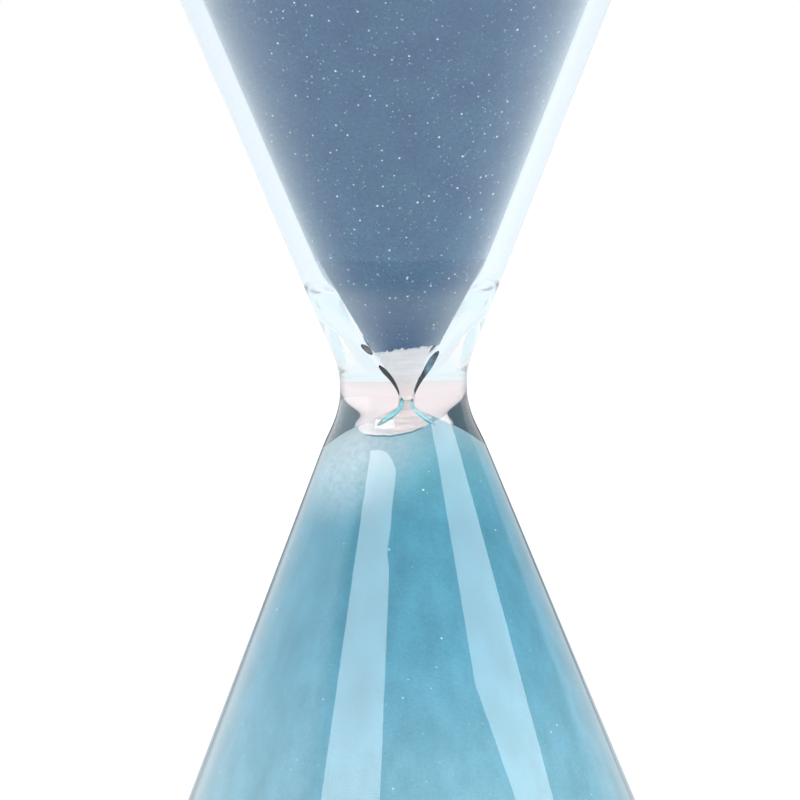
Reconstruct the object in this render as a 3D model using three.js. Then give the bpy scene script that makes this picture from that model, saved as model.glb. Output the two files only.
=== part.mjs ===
// A free-standing hourglass without a frame: two thick-walled clear glass cones on a solid glass neck,
// closed by flat glass discs that are bonded to their rims, with coloured sand in both bulbs.
// Millimetres, +Z up, origin at the centre of the foot.
import * as THREE from "three";

// Outer shape: two straight cones that run into a short, nearly straight waist.
const LOWER_SLOPE = 0.4; // radius gained per millimetre of height, below the waist
const UPPER_SLOPE = 0.4093; // and above it: the two cones differ a little, as hand-worked glass does
const FOOT_RADIUS = 43.25; // of both ends
const WAIST_RADIUS = 7.85;
const WAIST_LENGTH = 3.455; // between the two cones, before they are blended into it
const WAIST_BLEND = 0.45; // how softly a cone runs into the waist
const PINCH = 0.24; // the lower cone starts a little drawn in
const PINCH_BELOW = 2.5; // from the waist's lower end to the middle of the drawn-in stretch
const PINCH_WIDTH = 2.2;
const LOWER_HEIGHT = (FOOT_RADIUS - WAIST_RADIUS) / LOWER_SLOPE;
const UPPER_HEIGHT = (FOOT_RADIUS - WAIST_RADIUS) / UPPER_SLOPE;
const HEIGHT = LOWER_HEIGHT + WAIST_LENGTH + UPPER_HEIGHT;

// Cavities: a short bore through the solid neck, a funnel above it and a dome below it.
const THROAT_Z = LOWER_HEIGHT + 0.125;
const THROAT_RADIUS = 0.635;
const WALL = 2.75; // measured level with the floor, so about 2.5 through the glass
const FUNNEL_SLOPE = 0.41;
const FUNNEL_DROP = 0.68; // from the throat down to the funnel's own apex
const FLARE_SLOPE = 0.85; // the funnel opens wider higher up
const FLARE_RISE = 3.17; // from the throat up to the flare's own apex
const FUNNEL_BLEND = 0.6;
const DOME_SLOPE = 1.25;
const DOME_DROP = 0.25; // from the throat to the dome's own apex
const DOME_BLEND = 4.5;
const BORE_BLEND = 0.35;

// Where the blanks meet: the two cones are fused to the neck, and the discs are bonded to the cones.
const GAP = 0.3;
const NECK_BELOW = 6.6; // the neck blank's reach below the throat
const NECK_ABOVE = 15.2; // and above it
const DISC_THICKNESS = 5;
const DISC_BEVEL = 0.9;
const BOND_THICKNESS = 0.5;
const BOND_INSET = 0.4; // the bond lies this far inside the glass on both sides
const PLUG_HOLE_RADIUS = 4.4;
const PLUG_RADIUS = 3.3;
const PLUG_RECESS = 0.6; // the plug ends this far inside both faces of its disc

// Sand levels, from the throat.
const SAND_CLEARANCE = 0.35; // level gap between the sand and the glass
const UPPER_SAND_TOP = 58;
const UPPER_SAND_DIP = 6; // the hollow at the middle of its surface
const UPPER_SAND_BOTTOM = 6.2; // the sand has bridged here, and the funnel below it is empty
const UPPER_SAND_ARCH = 1.1;
const LOWER_SAND_TOP = 3.9;
const LOWER_SAND_PEAK = 0.3;
const SAND_STEP = 1; // the stretch of the upper sand beside the joint of the neck and the upper cone

const SEGMENTS = 48;
const CONE_STEPS = 4;
const NECK_OUTER_STEPS = 10;
const NECK_CAVITY_STEPS = 24; // fine, because both cavities run together through the bore

const smoothMax = (a, b, blend) => (a + b + Math.hypot(a - b, blend)) / 2;
const smoothMin = (a, b, blend) => (a + b - Math.hypot(a - b, blend)) / 2;

function lowerLine(z) {
  return WAIST_RADIUS + LOWER_SLOPE * (LOWER_HEIGHT - z);
}

function upperLine(z) {
  return WAIST_RADIUS + UPPER_SLOPE * (z - LOWER_HEIGHT - WAIST_LENGTH);
}

function outerRadius(z) {
  const fromPinch = (z - LOWER_HEIGHT + PINCH_BELOW) / PINCH_WIDTH;
  const lower = smoothMax(WAIST_RADIUS, lowerLine(z), WAIST_BLEND);
  return smoothMax(lower, upperLine(z), WAIST_BLEND) - PINCH * Math.exp(-(fromPinch ** 2));
}

// The funnel above the throat, and the wall of the upper bulb that it runs into.
function funnelRadius(z) {
  const narrow = FUNNEL_SLOPE * (z - THROAT_Z + FUNNEL_DROP);
  const flare = FLARE_SLOPE * (z - THROAT_Z - FLARE_RISE);
  const funnel = smoothMax(narrow, flare, FUNNEL_BLEND);
  return smoothMax(THROAT_RADIUS, smoothMin(funnel, upperLine(z) - WALL, FUNNEL_BLEND), BORE_BLEND);
}

// The dome below the throat, and the wall of the lower bulb that it runs into.
function domeRadius(z) {
  const dome = DOME_SLOPE * (THROAT_Z - DOME_DROP - z);
  return smoothMax(THROAT_RADIUS, smoothMin(dome, lowerLine(z) - WALL, DOME_BLEND), BORE_BLEND);
}

function cavityRadius(z) {
  return z > THROAT_Z ? funnelRadius(z) : domeRadius(z);
}

// Points (radius, z) along a radius function, from one height to another, both included.
function outline(radiusAt, fromZ, toZ, steps) {
  return Array.from({ length: steps + 1 }, (_, i) => {
    const z = fromZ + ((toZ - fromZ) * i) / steps;
    return [radiusAt(z), z];
  });
}

// A body of revolution about Z. Its points run up the outside and down the inside or the axis.
function turned(points) {
  const profile = points.map(([radius, z]) => new THREE.Vector2(radius, z));
  return new THREE.LatheGeometry(profile, SEGMENTS).rotateX(Math.PI / 2);
}

// A glass wall between two heights: up the outside, down the cavity and back to the start.
function turnedWall(fromZ, toZ, outerSteps, cavitySteps) {
  const points = outline(outerRadius, fromZ, toZ, outerSteps);
  points.push(...outline(cavityRadius, toZ, fromZ, cavitySteps));
  points.push(points[0]);
  return turned(points);
}

const NECK_LOW = THROAT_Z - NECK_BELOW;
const NECK_HIGH = THROAT_Z + NECK_ABOVE;
const RIM_HEIGHT = DISC_THICKNESS + GAP + BOND_THICKNESS + GAP; // from each end to the cone's rim

const upperCone = () => turnedWall(NECK_HIGH + GAP, HEIGHT - RIM_HEIGHT, CONE_STEPS, CONE_STEPS * 2);
const neckBlock = () => turnedWall(NECK_LOW, NECK_HIGH, NECK_OUTER_STEPS, NECK_CAVITY_STEPS);
const lowerCone = () => turnedWall(RIM_HEIGHT, NECK_LOW - GAP, CONE_STEPS, CONE_STEPS * 2);

// The foot disc: its edge goes on the line of the cone, with a ground bevel at the outer corner.
function lowerEndDisc() {
  return turned([
    [0, 0],
    [FOOT_RADIUS - DISC_BEVEL, 0],
    [lowerLine(DISC_BEVEL), DISC_BEVEL],
    [lowerLine(DISC_THICKNESS), DISC_THICKNESS],
    [0, DISC_THICKNESS],
  ]);
}

// The top disc is the same with a filling hole through its middle.
function upperEndDisc() {
  const under = HEIGHT - DISC_THICKNESS;
  return turned([
    [PLUG_HOLE_RADIUS, under],
    [upperLine(under), under],
    [upperLine(HEIGHT - DISC_BEVEL), HEIGHT - DISC_BEVEL],
    [FOOT_RADIUS - DISC_BEVEL, HEIGHT],
    [PLUG_HOLE_RADIUS, HEIGHT],
    [PLUG_HOLE_RADIUS, under],
  ]);
}

// The thin ring of clear bond between a disc and its cone's rim.
function rimBond(lowZ) {
  const highZ = lowZ + BOND_THICKNESS;
  const middle = (lowZ + highZ) / 2;
  const outer = outerRadius(middle) - BOND_INSET;
  const inner = cavityRadius(middle) + BOND_INSET;
  return turned([
    [inner, lowZ],
    [outer, lowZ],
    [outer, highZ],
    [inner, highZ],
    [inner, lowZ],
  ]);
}

function fillingPlug() {
  const low = HEIGHT - DISC_THICKNESS + PLUG_RECESS;
  const high = HEIGHT - PLUG_RECESS;
  return turned([
    [0, low],
    [PLUG_RADIUS - PLUG_RECESS, low],
    [PLUG_RADIUS, low + PLUG_RECESS],
    [PLUG_RADIUS, high],
    [0, high],
  ]);
}

// The seal that fills the space between the plug and the wall of its hole.
function fillingPlugBond() {
  const low = HEIGHT - DISC_THICKNESS + 2 * PLUG_RECESS;
  const high = HEIGHT - 2 * PLUG_RECESS;
  return turned([
    [PLUG_RADIUS + GAP, low],
    [PLUG_HOLE_RADIUS - GAP, low],
    [PLUG_HOLE_RADIUS - GAP, high],
    [PLUG_RADIUS + GAP, high],
    [PLUG_RADIUS + GAP, low],
  ]);
}

const sandRadius = (z) => cavityRadius(z) - SAND_CLEARANCE;

// The sand above: a shallow crater on top, and an arch underneath where it has bridged.
function upperSand() {
  const low = THROAT_Z + UPPER_SAND_BOTTOM;
  const high = THROAT_Z + UPPER_SAND_TOP;
  return turned([
    [0, low + UPPER_SAND_ARCH],
    [sandRadius(low) / 2, low + UPPER_SAND_ARCH / 2],
    ...outline(sandRadius, low, NECK_HIGH, CONE_STEPS * 2),
    ...outline(sandRadius, NECK_HIGH + SAND_STEP, high, CONE_STEPS * 2),
    [sandRadius(high) / 2, high - UPPER_SAND_DIP / 2],
    [0, high - UPPER_SAND_DIP],
  ]);
}

// The sand below: flat on the foot disc, filling the bulb to just under the dome.
function lowerSand() {
  const low = DISC_THICKNESS + GAP;
  const high = THROAT_Z - LOWER_SAND_TOP;
  return turned([
    [0, low],
    [sandRadius(low), low],
    ...outline(sandRadius, NECK_LOW, high, CONE_STEPS),
    [sandRadius(high) / 2, high + LOWER_SAND_PEAK / 2],
    [0, high + LOWER_SAND_PEAK],
  ]);
}

function clearGlass(color) {
  return new THREE.MeshStandardMaterial({
    color,
    roughness: 0.03,
    metalness: 0,
    transparent: true,
    opacity: 0.35,
  });
}

const bodyGlass = clearGlass(0xe8f3f7);
const discGlass = clearGlass(0xe4f1f4);
const bondClear = new THREE.MeshStandardMaterial({ color: 0xeef2f2, roughness: 0.2, metalness: 0 });
const slateSand = new THREE.MeshStandardMaterial({ color: 0x66829a, roughness: 0.9, metalness: 0 });
const tealSand = new THREE.MeshStandardMaterial({ color: 0x69aec4, roughness: 0.9, metalness: 0 });

const hourglass = new THREE.Group();

function add(name, geometry, material) {
  const mesh = new THREE.Mesh(geometry, material);
  mesh.name = name;
  hourglass.add(mesh);
}

add("upper_cone", upperCone(), bodyGlass);
add("neck_block", neckBlock(), bodyGlass);
add("lower_cone", lowerCone(), bodyGlass);
add("upper_end_disc", upperEndDisc(), discGlass);
add("lower_end_disc", lowerEndDisc(), discGlass);
add("upper_rim_bond", rimBond(HEIGHT - DISC_THICKNESS - GAP - BOND_THICKNESS), bondClear);
add("lower_rim_bond", rimBond(DISC_THICKNESS + GAP), bondClear);
add("filling_plug", fillingPlug(), discGlass);
add("filling_plug_bond", fillingPlugBond(), bondClear);
add("upper_sand", upperSand(), slateSand);
add("lower_sand", lowerSand(), tealSand);

export default hourglass;
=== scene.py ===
"""Visual model of a frameless hourglass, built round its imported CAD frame. Metres, +Z up.

The camera looks along +Y, so the front is the -Y side and +X is on the right. An azimuth is an angle
from the front, growing to the right."""

import math
import random

import bmesh
import bpy
from mathutils import Matrix, Vector, noise

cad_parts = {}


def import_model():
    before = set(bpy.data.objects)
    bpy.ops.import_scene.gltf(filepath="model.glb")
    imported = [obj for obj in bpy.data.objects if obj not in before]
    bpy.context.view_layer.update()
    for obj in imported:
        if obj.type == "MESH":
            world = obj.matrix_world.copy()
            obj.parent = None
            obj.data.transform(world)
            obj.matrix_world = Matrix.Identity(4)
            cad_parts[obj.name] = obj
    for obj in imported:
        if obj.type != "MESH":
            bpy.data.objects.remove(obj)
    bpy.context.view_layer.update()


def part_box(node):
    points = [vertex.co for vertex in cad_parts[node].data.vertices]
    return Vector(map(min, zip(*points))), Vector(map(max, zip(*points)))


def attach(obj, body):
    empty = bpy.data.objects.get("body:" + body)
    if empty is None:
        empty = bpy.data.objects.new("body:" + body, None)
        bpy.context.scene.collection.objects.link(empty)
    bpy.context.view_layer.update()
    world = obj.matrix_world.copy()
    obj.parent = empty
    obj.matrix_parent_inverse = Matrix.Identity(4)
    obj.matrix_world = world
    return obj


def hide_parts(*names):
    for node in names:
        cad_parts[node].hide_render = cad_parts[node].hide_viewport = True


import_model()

MM = 0.001

# ---------------------------------------------------------------- sizes
# Heights and radii that the frame gives.
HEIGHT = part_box("upper_end_disc")[1].z
DISC_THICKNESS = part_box("lower_end_disc")[1].z
plug_low, plug_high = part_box("filling_plug")
sand_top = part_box("upper_sand")[1].z

# The glass outline.
LOWER_SLOPE = 0.4
UPPER_SLOPE = 0.4093
FOOT_RADIUS = 43.25 * MM
WAIST_RADIUS = 7.85 * MM
WAIST_BLEND = 0.45 * MM
PINCH = 0.24 * MM
PINCH_Z = 86.0 * MM
PINCH_WIDTH = 2.2 * MM
THROAT_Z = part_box("neck_block")[0].z + 6.6 * MM
THROAT_RADIUS = 0.55 * MM
DOME_THROAT_RADIUS = 0.64 * MM
WALL = 2.75 * MM
FUNNEL_SLOPE = 0.41
FUNNEL_RISE = -0.68 * MM
FLARE_SLOPE = 0.85
FLARE_RISE = 3.17 * MM
BORE_DRIFT = 0.28 * MM  # how far right of the axis the bore lies, easing off above and below it
DRIFT_Z = 90 * MM
DRIFT_WIDTH = 5 * MM
DRIFT_REACH = 0.1 * MM  # what lies up to this far outside the cavity's wall moves with it
FUNNEL_BLEND = 0.6 * MM
DOME_SLOPE = 1.25
DOME_DROP = 0.25 * MM
DOME_BLEND = 4.5 * MM
FUNNEL_FLARE = 0.4 * MM
DOME_FLARE = 0.3 * MM
DISC_BEVEL = 0.9 * MM  # at the ground face
DISC_SMALL_BEVEL = 0.25 * MM  # at the bond
DISC_FACE_INSET = 0.3 * MM  # from the round to the edge of the flat face
DISC_INNER = 20 * MM  # a ring on the flat faces, so that no triangle spans the whole disc
BOND_LINE = 0.16 * MM
BOND_PLAY = 0.012 * MM
BOND_INSET = 0.12 * MM  # from the outside of the glass
SEAL_PLAY = 0.03 * MM
SEAL_INSET = 0.9 * MM  # from both faces of the disc
PLUG_HOLE_RADIUS = 4.4 * MM

# The sand.
UPPER_SAND_BOTTOM = 95.9 * MM
UPPER_SAND_ARCH = 1.0 * MM
UPPER_SAND_DIP = 6.0 * MM
LOWER_SAND_TOP = 84.7 * MM
LOWER_SAND_PEAK = 0.3 * MM
HAZE_SWEEP = (-50, 46)  # azimuths between which pale fines cover the funnel
UPPER_SAND_PLAY = 0.06 * MM  # air between the upper sand and the glass, which keeps the wall looking clear
LOWER_SAND_BITE = 0.02 * MM  # the lower sand reaches this far into the glass, so no air shows between them

# Up to TOUCHING_TOP the upper sand touches the glass in front. Its half width, as seen, grows with the height
# above TOUCHING_FOOT.
TOUCHING_TOP = 106.5 * MM
TOUCHING_FOOT = 95.3 * MM
TOUCHING_LEFT = 3.65 * MM
TOUCHING_RIGHT = 3.95 * MM
TOUCHING_WIDENING = 0.591
TOUCHING_EASE = 1.5 * MM  # the height over which the sand leaves the glass
TOUCHING_SWEEP = 3  # the same to the sides, in degrees
TOUCHING_BITE = 0.015 * MM
TOUCHING_END = TOUCHING_TOP + TOUCHING_EASE * TOUCHING_BITE / (TOUCHING_BITE + UPPER_SAND_PLAY)
CLOSE_LIFT = 1.07  # how much paler the sand that touches the glass is painted, to make up for the light it lacks

# The painted streaks of light under the bore have dark rims: the bright core is this share of the height, and it
# is this many degrees short at both ends.
RUN_CORE = 0.72
RUN_MARGIN = 1.5

# How steeply films rise from nothing to their full thickness, at their ends and at their sides.
END_EASE = 4
SIDE_EASE = 6

SEGMENTS = 256
DISC_SEGMENTS = 1024  # fine, because the ends mirror their own edges over and over
PLUG_SEGMENTS = 96
WALL_RINGS = 160  # along the wall, from the edge of a charge of sand to its far end
WALL_CROWDING = 1.5  # how much closer these rings lie at the edge
GLASS_INDEX = 1.5
RESIN_INDEX = 1.42


def smooth_max(a, b, blend):
    return (a + b + math.hypot(a - b, blend)) / 2


def smooth_min(a, b, blend):
    return (a + b - math.hypot(a - b, blend)) / 2


def lower_line(z):
    return FOOT_RADIUS - LOWER_SLOPE * z


def upper_line(z):
    return FOOT_RADIUS - UPPER_SLOPE * (HEIGHT - z)


def outer_radius(z):
    lower = smooth_max(WAIST_RADIUS, lower_line(z), WAIST_BLEND)
    pinch = PINCH * math.exp(-(((z - PINCH_Z) / PINCH_WIDTH) ** 2))
    return smooth_max(lower, upper_line(z), WAIST_BLEND) - pinch


def funnel_radius(z):
    funnel = FUNNEL_SLOPE * (z - THROAT_Z - FUNNEL_RISE)
    flare = FLARE_SLOPE * (z - THROAT_Z - FLARE_RISE)
    funnel = smooth_max(funnel, flare, FUNNEL_BLEND)
    wall = upper_line(z) - WALL
    return smooth_max(THROAT_RADIUS, smooth_min(funnel, wall, FUNNEL_BLEND), FUNNEL_FLARE)


def dome_radius(z):
    dome = DOME_SLOPE * (THROAT_Z - DOME_DROP - z)
    wall = lower_line(z) - WALL
    return smooth_max(DOME_THROAT_RADIUS, smooth_min(dome, wall, DOME_BLEND), DOME_FLARE)


def cavity_radius(z):
    return funnel_radius(z) if z > THROAT_Z else dome_radius(z)


def drift(mesh):
    """Moves the cavity's wall, and what touches it, off the axis near the bore."""
    for vertex in mesh.vertices:
        x, y, z = vertex.co
        if math.hypot(x, y) < cavity_radius(z) + DRIFT_REACH:
            vertex.co.x = x + BORE_DRIFT * math.exp(-(((z - DRIFT_Z) / DRIFT_WIDTH) ** 2))


# Unevenness of the outside, listed one swell at a time: azimuth, height, rise, half width in degrees, half
# height.
SWELLS = [
    (-3, 79.5 * MM, 0.12 * MM, 10, 3.0 * MM),
    (-2, 70.6 * MM, -0.07 * MM, 10, 1.6 * MM),
]


def azimuth_of(angle):
    """The azimuth, from -180 to 180 degrees, of an angle in radians from +X, as meshes use."""
    return (math.degrees(angle) + 90 + 180) % 360 - 180


def angle_of(azimuth):
    return math.radians(azimuth - 90)


def swell(angle, z):
    """How far the outside stands proud of its outline."""
    azimuth = azimuth_of(angle)
    rise = 0.0
    for centre, height, most, half_width, half_height in SWELLS:
        rise += most * math.exp(-(((azimuth - centre) / half_width) ** 2) - ((z - height) / half_height) ** 2)
    return rise


# ---------------------------------------------------------------- meshes
def steps(start, end, count):
    """count values from start up to, but not including, end."""
    return [start + (end - start) * i / count for i in range(count)]


def stretches(starts, end):
    """Values from one start to the next, and on to end, which is included. A start comes with its count."""
    values = []
    for (start, count), (stop, _) in zip(starts, starts[1:] + [(end, 0)]):
        values += steps(start, stop, count)
    return values + [end]


def arc(centre, radius, start, end, count):
    """Points (radius, height) on an arc, from one angle in degrees to another, both included."""
    angles = [math.radians(start + (end - start) * i / count) for i in range(count + 1)]
    return [(centre[0] + radius * math.cos(a), centre[1] + radius * math.sin(a)) for a in angles]


def new_piece(name, mesh, material=None):
    mesh.validate()
    drift(mesh)
    mesh.shade_smooth()
    piece = bpy.data.objects.new(name, mesh)
    bpy.context.scene.collection.objects.link(piece)
    if material:
        mesh.materials.append(material)
    return piece


def on_ring(ring, angle):
    return ring(angle) if callable(ring) else ring


def lofted(name, rings, material, segments=SEGMENTS):
    """A closed mesh round Z. A ring is a point (radius, height), or a function that gives the point at an angle
    from +X. The outline runs from pole to pole, where the radius is 0, or closes on itself."""
    verts, loops, faces = [], [], []
    for ring in rings:
        loop = []
        for s in range(1 if on_ring(ring, 0.0)[0] == 0 else segments):
            angle = 2 * math.pi * s / segments
            radius, z = on_ring(ring, angle)
            loop.append(len(verts))
            verts.append((radius * math.cos(angle), radius * math.sin(angle), z))
        loops.append(loop)
    closing = [] if len(loops[0]) == 1 else [loops[0]]
    for low, high in zip(loops, loops[1:] + closing):
        for s in range(segments):
            t = (s + 1) % segments
            if len(low) == 1:
                faces.append((low[0], high[t], high[s]))
            elif len(high) == 1:
                faces.append((low[s], low[t], high[0]))
            else:
                faces.append((low[s], low[t], high[t], high[s]))
    mesh = bpy.data.meshes.new(name)
    mesh.from_pydata(verts, [], faces)
    return new_piece(name, mesh, material)


def stands_for(piece, slot, *nodes):
    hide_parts(*nodes)
    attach(piece, "root")


# ---------------------------------------------------------------- materials
def colour(code):
    """A linear colour from an sRGB hex code."""
    parts = [int(code[i : i + 2], 16) / 255 for i in (0, 2, 4)]
    return (*[p / 12.92 if p <= 0.04045 else ((p + 0.055) / 1.055) ** 2.4 for p in parts], 1.0)


def grey(value):
    return (value, value, value, 1.0)


WHITE = grey(1.0)


class Nodes:
    """Short calls for building one node tree. A value is a number or another node's output."""

    def __init__(self, tree):
        self.tree = tree

    def add(self, kind, **settings):
        made = self.tree.nodes.new("ShaderNode" + kind)
        for key, value in settings.items():
            setattr(made, key, value)
        return made

    def put(self, value, socket):
        if isinstance(value, bpy.types.NodeSocket):
            self.tree.links.new(value, socket)
        else:
            socket.default_value = value

    def math(self, operation, *values):
        made = self.add("Math", operation=operation)
        for value, socket in zip(values, made.inputs):
            self.put(value, socket)
        return made.outputs[0]

    def fit(self, value, low, high, smooth=False):
        """0 at low and 1 at high, clamped."""
        made = self.add("MapRange", interpolation_type="SMOOTHSTEP" if smooth else "LINEAR")
        self.put(value, made.inputs["Value"])
        made.inputs["From Min"].default_value = low
        made.inputs["From Max"].default_value = high
        return made.outputs["Result"]

    def mix(self, factor, a, b, blend="MIX"):
        made = self.add("Mix", data_type="RGBA", blend_type=blend)
        self.put(factor, made.inputs["Factor"])
        self.put(a, made.inputs["A"])
        self.put(b, made.inputs["B"])
        return made.outputs["Result"]

    def ramp(self, value, stops):
        made = self.add("ValToRGB")
        band = made.color_ramp
        while len(band.elements) < len(stops):
            band.elements.new(0.5)
        for element, (position, tone) in zip(band.elements, stops):
            element.position = position
            element.color = tone
        self.put(value, made.inputs["Fac"])
        return made.outputs["Color"]

    def ramp_along(self, value, stops):
        """A ramp whose stops stand at values of their own, not at shares from 0 to 1."""
        low, high = stops[0][0], stops[-1][0]
        return self.ramp(self.fit(value, low, high), [((at - low) / (high - low), tone) for at, tone in stops])

    def split(self, vector):
        made = self.add("SeparateXYZ")
        self.put(vector, made.inputs[0])
        return made.outputs

    def scaled(self, where, scale):
        made = self.add("Mapping")
        self.put(where, made.inputs["Vector"])
        made.inputs["Scale"].default_value = scale
        return made.outputs["Vector"]

    def noise(self, where, scale, detail):
        made = self.add("TexNoise")
        self.put(where, made.inputs["Vector"])
        made.inputs["Scale"].default_value = scale
        made.inputs["Detail"].default_value = detail
        return made.outputs["Fac"]

    def cells(self, where, scale):
        made = self.add("TexVoronoi")
        self.put(where, made.inputs["Vector"])
        made.inputs["Scale"].default_value = scale
        chosen = self.add("SeparateColor")
        self.put(made.outputs["Color"], chosen.inputs[0])
        return made.outputs["Distance"], chosen.outputs

    def bump(self, height, distance, strength):
        made = self.add("Bump")
        self.put(height, made.inputs["Height"])
        made.inputs["Distance"].default_value = distance
        made.inputs["Strength"].default_value = strength
        return made.outputs["Normal"]


def new_material(name):
    mat = bpy.data.materials.new(name)
    mat.use_nodes = True
    return mat, Nodes(mat.node_tree), mat.node_tree.nodes["Principled BSDF"]


def clear_glass(name, roughness=0.0):
    mat, nodes, shader = new_material(name)
    shader.inputs["Transmission Weight"].default_value = 1
    shader.inputs["IOR"].default_value = GLASS_INDEX
    shader.inputs["Roughness"].default_value = roughness
    return mat, nodes, shader


EDGE_SHADE_SLANTS = (0.55, 0.92)  # where the painted shade on the edges of the glass starts, and where it's darkest
# Heights over which the painted edge shade grows from nothing to full, going down
EDGE_SHADE_HEIGHTS = (96 * MM, 90 * MM)


def body_glass():
    """Faintly blue glass, with a faint warm cast where the neck was worked, and painted shade on its edges below
    the neck's middle: where the surface is seen at a slant, the colour the camera sees first is dimmed to dark
    grey."""
    mat, nodes, shader = clear_glass("body_glass")
    where = nodes.add("TexCoord").outputs["Object"]
    z = nodes.split(where)[2]
    cool, warm = colour("eef8fc"), colour("fcf0ee")
    stops = [(80 * MM, cool), (85 * MM, warm), (90 * MM, warm), (92.4 * MM, cool), (100 * MM, cool)]
    cast = nodes.ramp_along(z, stops)
    facing = nodes.add("LayerWeight").outputs["Facing"]
    slant = nodes.fit(facing, *EDGE_SHADE_SLANTS)
    below = nodes.fit(z, *EDGE_SHADE_HEIGHTS, smooth=True)
    first = nodes.add("LightPath").outputs["Is Camera Ray"]
    # Painted shade: edges seen at a slant below the neck turn dark grey, for camera rays only
    painted_edge_shade = nodes.math("MULTIPLY", nodes.math("MULTIPLY", slant, below), first)
    nodes.put(nodes.mix(painted_edge_shade, cast, colour("464e54")), shader.inputs["Base Color"])
    return mat


def disc_glass():
    """Flat ground and polished glass, with the slightly deeper blue-green of a thick plate."""
    mat, nodes, shader = clear_glass("disc_glass")
    where = nodes.add("TexCoord").outputs["Object"]
    cloud = nodes.noise(where, 60, 1)
    nodes.put(nodes.mix(cloud, colour("e2f3f6"), colour("e9f7fa")), shader.inputs["Base Color"])
    return mat


# Painted shade on sand seen only after this many bounces, and its tone
DEEP_SHADE = (2.5, grey(0.22))
GRAINS_PER_METRE = 4500
LIT_PATCH_GLINTS_PER_METRE = 5200
DUST_GRAINS_PER_METRE = 5000
# Painted glints, as white dots in the sand's colour
GLINTS_PER_METRE = 1500
FINE_GLINTS_PER_METRE = 2600
GLINT_POWER = 1.7  # most painted glints are faint, and few are bright
FINE_GLINT_STRENGTH = 0.4
PATCH_STRENGTH = 0.5
SHEEN_START = 0.22  # the slant from which the painted sheen starts to make the sand paler
SHEEN_POWER = 1.5
CLOSE_FOOT = 97 * MM  # on sand that touches the glass, the slant behind the painted sheen is scaled by a factor that grows from here up
CLOSE_GAIN = (1.25, 1.1)


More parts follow.
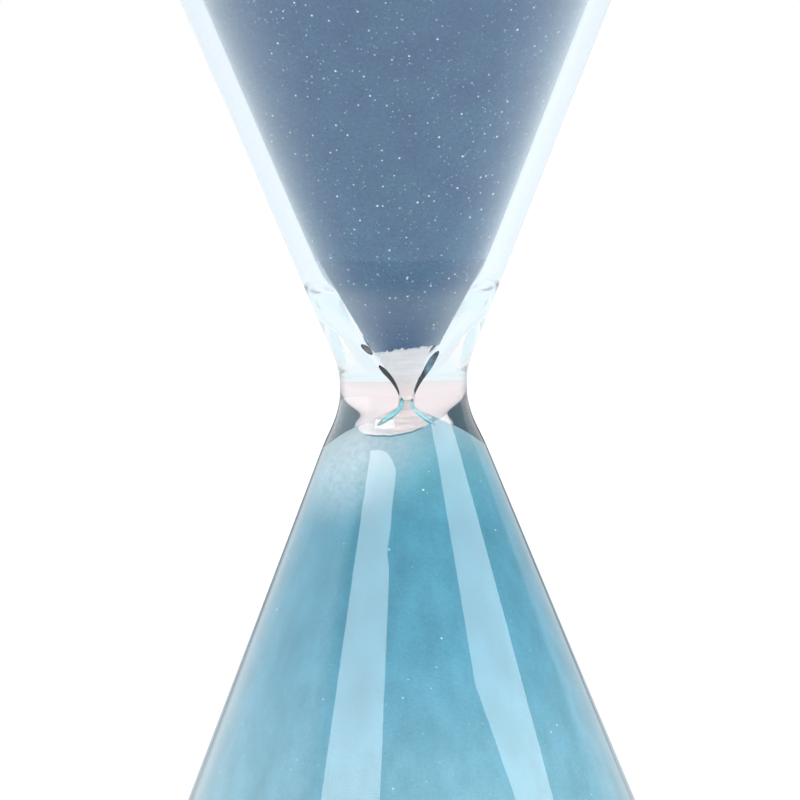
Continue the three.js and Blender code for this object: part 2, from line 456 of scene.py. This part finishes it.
def sand(name, tones, mottle, specks, fines, contrast, streaks, painted_sheen, painted_light_patch=None, close=None, deep_shade=DEEP_SHADE):
    """Dyed sand. tones are the ramp's stops by height, mottle the tone of patches, specks and fines the shares of
    large and small grains painted with glints, contrast and streaks the unevenness of the tone by grain and along
    upright lines, and painted_sheen (strength, tone) a painted sheen, paler at a slant. painted_light_patch
    (centre, radius, tone) is a painted pool of light, a paler stretch with painted glints. Below the height
    close, where the grains touch the glass, they're lit less and look as pale as those above it only after a
    painted lift.
    deep_shade (bounces, tone) is painted shade that darkens what shows after so many bounces."""
    mat, nodes, shader = new_material(name)
    shader.inputs["Roughness"].default_value = 0.85
    shader.inputs["Specular IOR Level"].default_value = 0.25
    where = nodes.add("TexCoord").outputs["Object"]
    z = nodes.split(where)[2]
    base = nodes.ramp_along(z, tones)
    # Patches some millimetres across where one dye or the other is stronger.
    patch = nodes.fit(nodes.noise(where, 230, 3), 0.35, 0.65)
    base = nodes.mix(nodes.math("MULTIPLY", patch, PATCH_STRENGTH), base, mottle, blend="MULTIPLY")
    # Faint upright streaks, where the grains have slid.
    lines = nodes.noise(nodes.scaled(where, (1, 1, 0.05)), 420, 4)
    slid = nodes.ramp(lines, [(0.3, grey(1 - streaks)), (0.7, grey(1 + streaks))])
    base = nodes.mix(1.0, base, slid, blend="MULTIPLY")
    # Grains.
    distance, pick = nodes.cells(where, GRAINS_PER_METRE)
    grain = nodes.ramp(pick[0], [(0.0, grey(1 - contrast)), (0.5, grey(1.0)), (1.0, grey(1 + contrast))])
    base = nodes.mix(1.0, base, grain, blend="MULTIPLY")
    # Painted light: a paler patch where light falls on the sand, dotted with painted glints
    if painted_light_patch:
        centre, radius, tone = painted_light_patch
        apart = nodes.add("VectorMath", operation="DISTANCE")
        nodes.put(where, apart.inputs[0])
        apart.inputs[1].default_value = centre
        near = nodes.fit(apart.outputs["Value"], radius, 0.2 * radius, smooth=True)
        cloud = nodes.fit(nodes.noise(where, 1500, 4), -0.3, 0.7)
        base = nodes.mix(nodes.math("MULTIPLY", near, cloud), base, tone)
        space, chosen = nodes.cells(where, LIT_PATCH_GLINTS_PER_METRE)
        dot = nodes.math("MULTIPLY", nodes.fit(space, 0.4, 0.15, smooth=True), nodes.fit(chosen[2], 0.55, 1.5))
        base = nodes.mix(nodes.math("MULTIPLY", dot, near), base, WHITE)
    # Painted glints: grains painted as small round white dots of very different strengths.
    distance, pick = nodes.cells(where, GLINTS_PER_METRE)
    dot = nodes.fit(distance, 0.26, 0.10, smooth=True)
    strength = nodes.math("POWER", nodes.fit(pick[0], 1 - specks, 1.0), GLINT_POWER)
    base = nodes.mix(nodes.math("MULTIPLY", dot, strength), base, WHITE)
    near, chosen = nodes.cells(where, FINE_GLINTS_PER_METRE)
    dot = nodes.fit(near, 0.34, 0.12, smooth=True)
    strength = nodes.math("MULTIPLY", nodes.fit(chosen[1], 1 - fines, 1.0), FINE_GLINT_STRENGTH)
    base = nodes.mix(nodes.math("MULTIPLY", dot, strength), base, WHITE)
    # Painted sheen: the flanks, where the grains are seen at a slant, are painted paler.
    facing = nodes.add("LayerWeight").outputs["Facing"]
    if close:
        touching = nodes.math("LESS_THAN", z, close)
        gain = nodes.math("MULTIPLY_ADD", nodes.fit(z, CLOSE_FOOT, close), *CLOSE_GAIN)
        facing = nodes.math("MULTIPLY", facing, nodes.math("MULTIPLY_ADD", touching, gain, 1.0))
    slant = nodes.math("POWER", nodes.fit(facing, SHEEN_START, 1.0), SHEEN_POWER)
    base = nodes.mix(nodes.math("MULTIPLY", slant, painted_sheen[0]), base, painted_sheen[1])
    # Painted light: sand that touches the glass is made paler, making up for the light it lacks
    if close:
        base = nodes.mix(touching, base, grey(CLOSE_LIFT), blend="MULTIPLY")
    # Painted shade: sand that shows only after several bounces in the glass is darkened.
    depth = nodes.add("LightPath").outputs["Ray Depth"]
    far = nodes.math("GREATER_THAN", depth, deep_shade[0])
    base = nodes.mix(far, base, deep_shade[1], blend="MULTIPLY")
    nodes.put(base, shader.inputs["Base Color"])
    nodes.put(nodes.bump(distance, 0.05 * MM, 0.5), shader.inputs["Normal"])
    return mat


# Upper sand: the same sand as the lower, painted darker and slate-blue as shade, for less light reaches it
def slate_sand():
    return sand(
        "slate_sand",
        [
            (96 * MM, colour("3f6586")),
            (107 * MM, colour("527692")),
            (130 * MM, colour("51718e")),
        ],
        mottle=colour("e6d9ee"),
        specks=0.30,
        fines=0.20,
        contrast=0.12,
        streaks=0.015,
        painted_sheen=(0.72, colour("d8dddf")),
        close=TOUCHING_END,
    )


# Lower sand: the same sand as the upper, painted lighter and teal for the light that falls on it
def teal_sand():
    return sand(
        "teal_sand",
        [
            (5 * MM, colour("9ac9d8")),
            (39 * MM, colour("8ec2d2")),
            (58 * MM, colour("69abc1")),
            (73 * MM, colour("579cb2")),
            (79 * MM, colour("63a3b4")),
            (84 * MM, colour("7db0c1")),
        ],
        mottle=colour("e4ecec"),
        specks=0.03,
        fines=0.02,
        contrast=0.05,
        streaks=0.09,
        painted_sheen=(0.32, colour("bccfd6")),
        # a painted pool of light at the top left
        painted_light_patch=((-8 * MM, -5 * MM, 83 * MM), 12 * MM, colour("c4d8df")),
        deep_shade=(1.5, (0.6, 0.43, 0.43, 1)),
    )


def dust(name, tones, specks):
    """The finest, palest dust, which clings to the glass; the same films also carry painted shade and painted
    streaks of light. tones are the ramp's stops from left to right, and specks is the unevenness of its tone by
    grain."""
    mat, nodes, shader = new_material(name)
    shader.inputs["Roughness"].default_value = 0.9
    where = nodes.add("TexCoord").outputs["Object"]
    x = nodes.split(where)[0]
    base = nodes.ramp_along(x, tones)
    distance, pick = nodes.cells(where, DUST_GRAINS_PER_METRE)
    grain = nodes.ramp(pick[0], [(0.0, grey(1 - specks)), (0.6, grey(1.0)), (1.0, grey(1 + specks))])
    base = nodes.mix(1.0, base, grain, blend="MULTIPLY")
    streak = nodes.fit(nodes.noise(nodes.scaled(where, (1, 1, 6)), 350, 3), 0.3, 0.7)
    base = nodes.mix(streak, base, colour("fff4f4"), blend="SOFT_LIGHT")
    nodes.put(base, shader.inputs["Base Color"])
    nodes.put(nodes.bump(distance, 0.03 * MM, 0.4), shader.inputs["Normal"])
    return mat


def dome_dust():
    return dust(
        "dome_dust",
        [
            (-4.0 * MM, colour("dcecf2")),
            (-2.0 * MM, colour("d0dade")),
            (0.0 * MM, colour("c4c4c6")),
            (1.6 * MM, colour("c0c3c6")),
            (3.0 * MM, colour("7fa9b6")),
            (4.5 * MM, colour("6a9fb0")),
        ],
        0.06,
    )


def satin(name, tone, roughness, transmission):
    """Cured bond or seal: clear resin that scatters the light a little."""
    mat, nodes, shader = clear_glass(name, roughness)
    shader.inputs["Transmission Weight"].default_value = transmission
    shader.inputs["IOR"].default_value = RESIN_INDEX
    where = nodes.add("TexCoord").outputs["Object"]
    streak = nodes.noise(where, 900, 3)
    nodes.put(nodes.mix(streak, tone, WHITE), shader.inputs["Base Color"])
    nodes.put(nodes.bump(streak, 0.05 * MM, 0.4), shader.inputs["Normal"])
    return mat


BODY_GLASS = body_glass()
DISC_GLASS = disc_glass()
SLATE_SAND = slate_sand()
TEAL_SAND = teal_sand()
BOND = satin("clear_bond", colour("dfe8ea"), 0.35, 0.7)
DOME_DUST = dome_dust()
FUNNEL_DUST = dust(
    "funnel_dust", [(-3 * MM, colour("f0f8fa")), (-1 * MM, colour("f2ece9")), (2 * MM, colour("f2eae8"))], 0.03
)
# Painted shade: dark films down the funnel's flanks, with a paler slate stripe, where only shade shows
FUNNEL_PAINTED_SHADE = dust(
    "funnel_painted_shade",
    [
        (-2 * MM, colour("1f282b")),
        (1.8 * MM, colour("1f282b")),
        (2.2 * MM, colour("5a7f91")),
        (3 * MM, colour("36454e")),
    ],
    0.3,
)
FUNNEL_SHADE = dust("funnel_shade", [(-6 * MM, colour("3c4246")), (-2 * MM, colour("6a6c70"))], 0.5)
# Painted light: the bright cores of the streaks under the bore
PAINTED_RUN_LIGHT = dust("painted_run_light", [(-5 * MM, colour("7fe0ec")), (5 * MM, colour("7fdbe6"))], 0.15)
RUN_EDGE = dust("run_edge", [(-5 * MM, colour("4d7f8a")), (5 * MM, colour("3f6f7c"))], 0.15)
SEAL = satin("seal_resin", colour("d8e2e4"), 0.45, 0.6)


# ---------------------------------------------------------------- glass
def glass_bulbs():
    """Both cones and the neck, fused into one: up the outside, over the rim, and down both cavities."""
    low = DISC_THICKNESS + BOND_LINE
    high = HEIGHT - low
    outer = [(low, 50), (66 * MM, 150), (104 * MM, 50)]
    inner = [
        (high, 50),
        (110 * MM, 80),
        (THROAT_Z + 2.5 * MM, 60),
        (THROAT_Z - 2 * MM, 80),
        (THROAT_Z - 14 * MM, 50),
    ]
    rings = [lambda angle, z=z: (outer_radius(z) + swell(angle, z), z) for z in stretches(outer, high)]
    rings += [(cavity_radius(z), z) for z in stretches(inner, low)]
    piece = lofted("glass_bulbs", rings, BODY_GLASS)
    piece.visible_shadow = False
    stands_for(piece, "body_glass", "upper_cone", "neck_block", "lower_cone")


def disc_edge(line, level, way):
    """The outer edge of an end disc, from its ground face at a level up (way 1) or down (way -1), with a round
    at that face and a small chamfer at the other."""
    bevel, small = DISC_BEVEL, DISC_SMALL_BEVEL
    top_z = level + way * DISC_THICKNESS
    points = [(FOOT_RADIUS - bevel - DISC_FACE_INSET, level)]
    centre = (line(level + way * bevel) - bevel, level + way * bevel)
    points += arc(centre, bevel, -90 * way, 0, 8)
    points += [(line(z), z) for z in steps(level + way * 1.5 * bevel, top_z - way * small, 6)]
    points += [(line(top_z) - small * 0.3, top_z - way * small * 0.3), (line(top_z) - small, top_z)]
    return points


def foot_disc():
    rings = [(0, 0), (DISC_INNER, 0)] + disc_edge(lower_line, 0, 1)
    rings += [(38 * MM, DISC_THICKNESS), (DISC_INNER, DISC_THICKNESS), (0, DISC_THICKNESS)]
    piece = lofted("foot_disc", rings, DISC_GLASS, DISC_SEGMENTS)
    piece.visible_shadow = False
    stands_for(piece, "disc_glass", "lower_end_disc")


def top_disc():
    """The same with a chamfered filling hole through its middle."""
    under = HEIGHT - DISC_THICKNESS
    chamfer = 0.3 * MM
    rings = [(PLUG_HOLE_RADIUS, under + chamfer), (PLUG_HOLE_RADIUS + chamfer, under), (DISC_INNER, under)]
    rings += list(reversed(disc_edge(upper_line, HEIGHT, -1)))
    rings += [(DISC_INNER, HEIGHT), (PLUG_HOLE_RADIUS + chamfer, HEIGHT), (PLUG_HOLE_RADIUS, HEIGHT - chamfer)]
    piece = lofted("top_disc", rings, DISC_GLASS, DISC_SEGMENTS)
    piece.visible_shadow = False
    stands_for(piece, "disc_glass", "upper_end_disc")


def rim_bond(name, node, low):
    """The bond line between a disc and a cone's rim, drawn in a little on both sides."""
    low, high = low + BOND_PLAY, low + BOND_LINE - BOND_PLAY
    middle = (low + high) / 2
    sink = 0.05 * MM
    inner, outer = cavity_radius(middle) + sink, outer_radius(middle) - BOND_INSET
    rings = [
        (inner, low),
        (outer, low),
        (outer - sink, middle),
        (outer, high),
        (inner, high),
        (inner + sink, middle),
    ]
    piece = lofted(name, rings, BOND)
    piece.visible_shadow = False
    stands_for(piece, "clear_bond", node)


def filling_plug():
    """A ground glass plug: chamfered below, slightly crowned on top."""
    radius = plug_high.x
    chamfer, edge, crown = 0.6 * MM, 0.35 * MM, 0.12 * MM
    low, high = plug_low.z, plug_high.z
    rings = [(0, low), (radius * 0.5, low), (radius - chamfer, low), (radius - 0.1 * MM, low + chamfer)]
    rings += [(radius, z) for z in steps(low + chamfer * 1.2, high - edge - crown, 4)]
    rings += arc((radius - edge, high - edge - crown), edge, 0, 80, 5)
    rings += [(radius * k, high - crown * k * k) for k in (0.8, 0.6, 0.4, 0.2)]
    rings.append((0, high))
    piece = lofted("glass_plug", rings, DISC_GLASS, PLUG_SEGMENTS)
    piece.visible_shadow = False
    stands_for(piece, "disc_glass", "filling_plug")


def plug_seal():
    """The seal between the plug and its hole, with a hollow meniscus at both ends."""
    inner, outer = plug_high.x + SEAL_PLAY, PLUG_HOLE_RADIUS - SEAL_PLAY
    low, high = HEIGHT - DISC_THICKNESS + SEAL_INSET, HEIGHT - SEAL_INSET
    across = [i / 8 for i in range(9)]
    sink = 0.28 * MM
    rings = [(inner + (outer - inner) * k, low + sink * 4 * k * (1 - k)) for k in across]
    rings += [(inner + (outer - inner) * k, high - sink * 4 * k * (1 - k)) for k in reversed(across)]
    piece = lofted("plug_seal", rings, SEAL, PLUG_SEGMENTS)
    piece.visible_shadow = False
    stands_for(piece, "clear_bond", "filling_plug_bond")


# ---------------------------------------------------------------- sand
def rough(angle, radius, spacing, seed):
    """Unevenness from -1 to 1 at a place on a sand surface."""
    place = Vector((radius * math.cos(angle), radius * math.sin(angle), seed))
    return noise.noise(place / spacing)


def upper_edge(angle):
    """The height where the upper sand's underside meets the funnel, a little ragged."""
    ragged = 0.3 * rough(angle, 4 * MM, 1.6 * MM, 1) + 0.22 * rough(angle, 4 * MM, 0.35 * MM, 2)
    tilt = 0.5 * math.cos(angle)
    return UPPER_SAND_BOTTOM + (tilt + ragged) * MM


def lower_edge(angle):
    """The height where the lower sand's surface meets the dome: it lies higher at the back right."""
    ragged = 0.10 * rough(angle, 6 * MM, 1.5 * MM, 3)
    tilt = 0.95 * math.cos(angle) + 0.9 * math.sin(angle)
    return LOWER_SAND_TOP + (tilt + ragged) * MM


def level_of(edge):
    return edge(0) / 2 + edge(math.pi) / 2


def on_wall(edge, far, share, play):
    """A ring on the cavity's wall, at a share of the way from the sand's edge to a far height."""

    def at(angle):
        z = edge(angle) + (far - edge(angle)) * share
        return cavity_radius(z) - play(angle, z), z

    return at


def on_surface(edge, share, play, bulge, roughness):
    """A ring on a sand surface, at a share of the way from its middle to its edge."""
    level = level_of(edge)

    def at(angle):
        z_edge = edge(angle)
        radius = (cavity_radius(z_edge) - play) * share
        texture = roughness * (1 - share**6) * rough(angle, radius, 0.5 * MM, 4)
        return radius, level + (z_edge - level) * share + bulge * (1 - share * share) + texture

    return at


def touching_to(z, left):
    """The azimuth up to which the upper sand touches the glass at a height, so that its edges look straight."""
    seen = (TOUCHING_LEFT if left else TOUCHING_RIGHT) + TOUCHING_WIDENING * (z - TOUCHING_FOOT)
    bent = seen / GLASS_INDEX
    outer = outer_radius(z)
    turn = math.asin(seen / outer) - math.asin(bent / outer)
    return math.degrees(math.asin(min(1.0, bent / cavity_radius(z))) + turn)


def upper_play(angle, z):
    """How far the upper sand stays off the glass. Close to the neck it touches it in front, and shows through."""
    azimuth = azimuth_of(angle)
    over = (abs(azimuth) - touching_to(min(z, TOUCHING_TOP), azimuth < 0)) / TOUCHING_SWEEP + 0.5
    beyond = min(1.0, max(0.0, over, (z - TOUCHING_TOP) / TOUCHING_EASE))
    return UPPER_SAND_PLAY * beyond - TOUCHING_BITE * (1 - beyond)


def upper_sand():
    rings = [(0, level_of(upper_edge) + UPPER_SAND_ARCH)]
    for share in steps(1 / 14, 1, 13):
        rings.append(on_surface(upper_edge, share, UPPER_SAND_PLAY, UPPER_SAND_ARCH, 0.12 * MM))
    for i in range(WALL_RINGS + 1):
        rings.append(on_wall(upper_edge, sand_top, (i / WALL_RINGS) ** WALL_CROWDING, upper_play))
    top_radius = cavity_radius(sand_top) - UPPER_SAND_PLAY

    def crater(share):
        def at(angle):
            radius = top_radius * share
            texture = 0.25 * MM * rough(angle, radius, 2.5 * MM, 5) + 0.1 * MM * rough(angle, radius, 0.7 * MM, 6)
            return radius, sand_top - UPPER_SAND_DIP * (1 - share**1.4) + texture * (1 - share**8)

        return at

    rings += [crater(share) for share in steps(0.985, 1 / 60, 60)]
    rings.append((0, sand_top - UPPER_SAND_DIP))
    piece = lofted("sand_above", rings, SLATE_SAND)
    stands_for(piece, "slate_sand", "upper_sand")


def lower_sand():
    bite = -LOWER_SAND_BITE
    low = DISC_THICKNESS - LOWER_SAND_BITE
    rings = [(0, low), (DISC_INNER, low)]
    for i in range(WALL_RINGS + 1):
        rings.append(on_wall(lower_edge, low, (1 - i / WALL_RINGS) ** WALL_CROWDING, lambda angle, z: bite))
    for share in steps(0.97, 1 / 14, 14):
        rings.append(on_surface(lower_edge, share, bite, LOWER_SAND_PEAK, 0.08 * MM))
    rings.append((0, level_of(lower_edge) + LOWER_SAND_PEAK))
    piece = lofted("sand_below", rings, TEAL_SAND)
    stands_for(piece, "teal_sand", "lower_sand")


def sand_edge(azimuth):
    return upper_edge(angle_of(azimuth))


def surface_edge(azimuth):
    return lower_edge(angle_of(azimuth))


def height_at(edge, azimuth):
    """The height of an edge, which is a number or a function of the azimuth."""
    return edge(azimuth) if callable(edge) else edge


def film(name, material, slot, sweep, low, high, bite, thickness, rounded=False):
    """A thin film on the cavity's wall, between two azimuths and two edges. It reaches bite into the glass, so
    that no air shows between them. It runs out to nothing at its edges, and a rounded film also narrows to its
    ends."""
    rows = 24
    start, end = sweep
    whole = end - start == 360
    columns = SEGMENTS if whole else max(24, int((end - start) * 1.2))
    mesh = bmesh.new()
    sides = []
    for depth in (-bite, thickness):
        grid = []
        for c in range(columns if whole else columns + 1):
            azimuth = start + (end - start) * c / columns
            angle = angle_of(azimuth)
            across = 1 if whole else 4 * (c / columns) * (1 - c / columns)
            share = math.sqrt(across) if rounded else 1
            bottom, top = height_at(low, azimuth), height_at(high, azimuth)
            middle, span = (bottom + top) / 2, (top - bottom) * share
            column = []
            for i in range(rows + 1):
                z = middle + span * (i / rows - 0.5)
                along = 4 * (i / rows) * (1 - i / rows)
                ease = min(1.0, END_EASE * along) * min(1.0, SIDE_EASE * across)
                radius = cavity_radius(z) - depth * ease
                column.append(mesh.verts.new((radius * math.cos(angle), radius * math.sin(angle), z)))
            grid.append(column)
        sides.append(grid)
    for side, grid in enumerate(sides):
        for c in range(columns):
            left, right = grid[c], grid[(c + 1) % len(grid)]
            for i in range(rows):
                corners = (left[i], right[i], right[i + 1], left[i + 1])
                mesh.faces.new(corners if side == 0 else corners[::-1])
    bmesh.ops.remove_doubles(mesh, verts=mesh.verts, dist=1e-7)
    data = bpy.data.meshes.new(name)
    mesh.to_mesh(data)
    mesh.free()
    piece = new_piece(name, data, material)
    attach(piece, "root")


def run(top_azimuth, top, foot_azimuth, foot, top_half, foot_half):
    """The two edges of a painted streak of light that slants down the wall and widens to its foot."""

    def share(azimuth):
        return (azimuth - top_azimuth) / (foot_azimuth - top_azimuth)

    def middle(azimuth):
        return top + (foot - top) * share(azimuth)

    def half(azimuth):
        return top_half + (foot_half - top_half) * share(azimuth)

    return lambda azimuth: middle(azimuth) - half(azimuth), lambda azimuth: middle(azimuth) + half(azimuth)


def dust_and_painted_light_films():
    film(
        "dome_dust",
        DOME_DUST,
        "teal_sand",
        sweep=(0, 360),
        low=82.6 * MM,
        high=THROAT_Z + 0.9 * MM,
        bite=0.010 * MM,
        thickness=0.04 * MM,
    )
    film(
        "funnel_haze",
        FUNNEL_DUST,
        "slate_sand",
        sweep=HAZE_SWEEP,
        low=THROAT_Z - 0.6 * MM,
        high=lambda a: sand_edge(a) - 0.05 * MM,
        bite=0.016 * MM,
        thickness=0.03 * MM,
    )
    film(
        "funnel_shade",
        FUNNEL_SHADE,
        "slate_sand",
        sweep=(-76, -56),
        low=95.2 * MM,
        high=96.6 * MM,
        bite=0.03 * MM,
        thickness=0.03 * MM,
        rounded=True,
    )
    film(
        "sand_line",
        RUN_EDGE,
        "teal_sand",
        sweep=(-62, 34),
        low=lambda a: surface_edge(a) - 0.16 * MM,
        high=lambda a: surface_edge(a) + 0.08 * MM,
        bite=0.03 * MM,
        thickness=0.03 * MM,
        rounded=True,
    )
    # Painted shade down both flanks of the funnel
    for side, sweep, high in (("left", (-84, -46), 93.8 * MM), ("right", (49, 84), 95.6 * MM)):
        film(
            "funnel_painted_shade_" + side,
            FUNNEL_PAINTED_SHADE,
            "slate_sand",
            sweep=sweep,
            low=THROAT_Z + 0.3 * MM,
            high=high,
            bite=0.02 * MM,
            thickness=0.045 * MM,
            rounded=True,
        )
    # Painted light: bright cyan streaks on the dome wall under the bore, each in a dark rim
    # The sweep, then the path: azimuth and height of the top and of the foot, and half the height of each.
    runs = (
        ("left", (-61, -20), (-22, 87.75 * MM, -58, 86.3 * MM, 1.2 * MM, 2.8 * MM)),
        ("right", (33, 62), (38, 87.6 * MM, 57, 86.0 * MM, 1.3 * MM, 2.5 * MM)),
    )
    for side, sweep, path in runs:
        film("run_edge_" + side, RUN_EDGE, "teal_sand", sweep, *run(*path), 0.02 * MM, 0.05 * MM, rounded=True)
        inner = (*path[:4], path[4] * RUN_CORE, path[5] * RUN_CORE)
        within = (sweep[0] + RUN_MARGIN, sweep[1] - RUN_MARGIN)
        film("run_" + side, PAINTED_RUN_LIGHT, "teal_sand", within, *run(*inner), 0.03 * MM, 0.045 * MM, rounded=True)


def grains(name, material, slot, seed, count, azimuths, low, high, size):
    """Loose grains that cling to the cavity's wall, between two azimuths and two edges."""
    chance = random.Random(seed)
    mesh = bmesh.new()
    for _ in range(count):
        azimuth = chance.uniform(*azimuths)
        angle = angle_of(azimuth)
        z = chance.uniform(height_at(low, azimuth), height_at(high, azimuth))
        across = size * chance.uniform(0.55, 1.3)
        radius = cavity_radius(z) - across * 0.3
        shape = Matrix.Diagonal([across * chance.uniform(0.35, 0.6) for _ in range(3)]).to_4x4()
        turn = Matrix.Rotation(chance.uniform(0, 6.28), 4, Vector([chance.uniform(-1, 1) for _ in range(3)]))
        place = Matrix.Translation((radius * math.cos(angle), radius * math.sin(angle), z)) @ turn @ shape
        made = bmesh.ops.create_icosphere(mesh, subdivisions=1, radius=1, matrix=place)
        for vertex in made["verts"]:
            vertex.co += Vector([chance.uniform(-0.08, 0.08) * across for _ in range(3)])
    data = bpy.data.meshes.new(name)
    mesh.to_mesh(data)
    mesh.free()
    piece = new_piece(name, data, material)
    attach(piece, "root")


def loose_grains():
    def below_edge(azimuth):
        return sand_edge(azimuth) - 0.22 * MM

    def just_below_edge(azimuth):
        return sand_edge(azimuth) - 0.1 * MM

    def above_edge(azimuth):
        return sand_edge(azimuth) + 0.25 * MM

    # name, material, seed, count, azimuths, lower edge, upper edge, size
    patches = (
        ("fringe_pale", FUNNEL_DUST, 1, 260, HAZE_SWEEP, below_edge, sand_edge, 0.22 * MM),
        ("fringe_dark", SLATE_SAND, 2, 130, HAZE_SWEEP, just_below_edge, above_edge, 0.2 * MM),
        ("funnel_clump", FUNNEL_DUST, 3, 170, (-50, -26), 94.0 * MM, 95.5 * MM, 0.26 * MM),
        ("bulb_grains", SLATE_SAND, 4, 260, (-180, 180), sand_top, sand_top + 7 * MM, 0.3 * MM),
    )
    for name, material, *rest in patches:
        grains(name, material, "slate_sand", *rest)


loose_grains()
dust_and_painted_light_films()
glass_bulbs()
foot_disc()
top_disc()
rim_bond("foot_bond", "lower_rim_bond", DISC_THICKNESS)
rim_bond("top_bond", "upper_rim_bond", HEIGHT - DISC_THICKNESS - BOND_LINE)
filling_plug()
plug_seal()
upper_sand()
lower_sand()


# ---------------------------------------------------------------- studio
CAMERA_ELEVATION = math.radians(5)
CAMERA_ROLL = math.radians(0.94)
CAMERA_DISTANCE = 0.9
CAMERA_FIELD = 0.1
CAMERA_TARGET = Vector((-0.45 * MM, 0, 88.25 * MM))
TO_CAMERA = Vector((0, -math.cos(CAMERA_ELEVATION), math.sin(CAMERA_ELEVATION)))


def camera():
    data = bpy.data.cameras.new("camera")
    data.sensor_width = 36
    data.lens = data.sensor_width * CAMERA_DISTANCE / CAMERA_FIELD
    data.clip_start = 0.05
    data.clip_end = 50
    made = bpy.data.objects.new("camera", data)
    made.location = CAMERA_TARGET + TO_CAMERA * CAMERA_DISTANCE
    made.rotation_euler = (-TO_CAMERA).to_track_quat("-Z", "Y").to_euler()
    made.rotation_euler.rotate_axis("Z", -CAMERA_ROLL)
    bpy.context.scene.collection.objects.link(made)
    bpy.context.scene.camera = made


def floor():
    count, radius, drop = 96, 3.0, 0.1 * MM
    angles = [2 * math.pi * i / count for i in range(count)]
    mesh = bpy.data.meshes.new("floor")
    ring = [(radius * math.cos(a), radius * math.sin(a), -drop) for a in angles]
    mesh.from_pydata(ring, [], [tuple(range(count))])
    mat, nodes, shader = new_material("pale_floor")
    shader.inputs["Roughness"].default_value = 0.9
    seen = nodes.add("LightPath").outputs["Is Camera Ray"]
    nodes.put(nodes.mix(seen, colour("d0d1d4"), grey(0.92)), shader.inputs["Base Color"])
    new_piece("floor", mesh, mat)


def around(nodes, direction, stops):
    """A colour by azimuth, from stops (azimuth in degrees, colour)."""
    x, y, _ = nodes.split(direction)
    azimuth = nodes.math("ARCTAN2", x, nodes.math("MULTIPLY", y, -1.0))
    turn = nodes.math("ADD", nodes.math("DIVIDE", azimuth, 2 * math.pi), 0.5)
    return nodes.ramp(turn, [((a + 180) / 360, grey(value)) for a, value in stops])


def world():
    """White to the camera. Reflections see walls that differ round the object, what shows through the glass is
    pale blue near the horizon, neutral above it and faintly warm overhead, and the sand gets its own fill."""
    made = bpy.data.worlds.new("studio")
    bpy.context.scene.world = made
    made.use_nodes = True
    nodes = Nodes(made.node_tree)
    direction = nodes.add("TexCoord").outputs["Generated"]
    path = nodes.add("LightPath").outputs
    walls = around(
        nodes,
        direction,
        [
            (-180, 0.2),
            (-164, 0.3),
            (-152, 1.8),
            (-120, 1.8),
            (-70, 1.9),
            (-56, 0.35),
            (80, 0.3),
            (122, 0.4),
            (127, 1.1),
            (156, 1.3),
            (162, 0.3),
            (180, 0.2),
        ],
    )
    up = nodes.split(direction)[2]
    through = nodes.ramp(
        nodes.fit(up, 0, 1),
        [
            (0.0, (0.91, 1.02, 1.04, 1)),
            (0.20, (0.91, 1.02, 1.04, 1)),
            (0.27, (1.00, 1.02, 1.03, 1)),
            (0.40, (1.00, 1.02, 1.03, 1)),
            (0.55, (1.24, 1.10, 1.05, 1)),
            (1.0, (1.24, 1.10, 1.05, 1)),
        ],
    )
    light = nodes.mix(path["Is Glossy Ray"], grey(1.15), walls)
    light = nodes.mix(path["Is Transmission Ray"], light, through)
    # The light on the sand is stronger from the left.
    fill = nodes.ramp_along(nodes.split(direction)[0], [(-1, (1.62, 1.66, 1.70, 1)), (1, (1.16, 1.18, 1.20, 1))])
    light = nodes.mix(nodes.math("GREATER_THAN", path["Diffuse Depth"], 0.5), light, fill)
    light = nodes.mix(path["Is Camera Ray"], light, grey(1.0))
    nodes.put(light, made.node_tree.nodes["Background"].inputs["Color"])


def mirrored(azimuth):
    """Where the lower cone's surface at an azimuth reflects the camera's view to."""
    a, tilt = math.radians(azimuth), math.atan(LOWER_SLOPE)
    normal = Vector((math.sin(a) * math.cos(tilt), -math.cos(a) * math.cos(tilt), math.sin(tilt)))
    return 2 * normal.dot(TO_CAMERA) * normal - TO_CAMERA


def softbox(name, left, right, distance, roll, low, high, radiance):
    """A flat lamp whose reflection in the lower cone runs between two azimuths. It is rolled by some degrees, and
    low and high are its lower and upper edges, measured from the reflection's own height."""
    way = (mirrored(left) + mirrored(right)).normalized()
    hits = [mirrored(edge) / mirrored(edge).dot(way) * distance for edge in (left, right)]
    across = (hits[1] - hits[0]).normalized()
    rise = way.cross(across)
    width = (hits[0] - hits[1]).length
    height = high - low
    lamp = bpy.data.lights.new(name, "AREA")
    lamp.shape = "RECTANGLE"
    lamp.size, lamp.size_y = width, height
    lamp.energy = radiance * math.pi * width * height
    made = bpy.data.objects.new(name, lamp)
    middle = Matrix.Translation(Vector((0, 0, THROAT_Z)) + (hits[0] + hits[1]) / 2)
    facing = Matrix((across, rise, way)).transposed().to_4x4()
    turned = Matrix.Rotation(math.radians(roll), 4, "Z")
    made.matrix_world = middle @ facing @ turned @ Matrix.Translation((0, (low + high) / 2, 0))
    made.visible_camera = False
    made.visible_transmission = False
    bpy.context.scene.collection.objects.link(made)


camera()
floor()
world()
softbox("key_left", left=-24.5, right=-7.5, distance=1.2, roll=-1.5, low=-0.19, high=0.037, radiance=5.3)
softbox("key_right", left=23, right=41.5, distance=1.2, roll=-12.4, low=-0.17, high=0.3, radiance=5.0)

BOUNCES = 48
bpy.context.scene.view_settings.view_transform = "Standard"
bpy.context.scene.cycles.max_bounces = BOUNCES
bpy.context.scene.cycles.transmission_bounces = BOUNCES
bpy.context.scene.cycles.glossy_bounces = BOUNCES
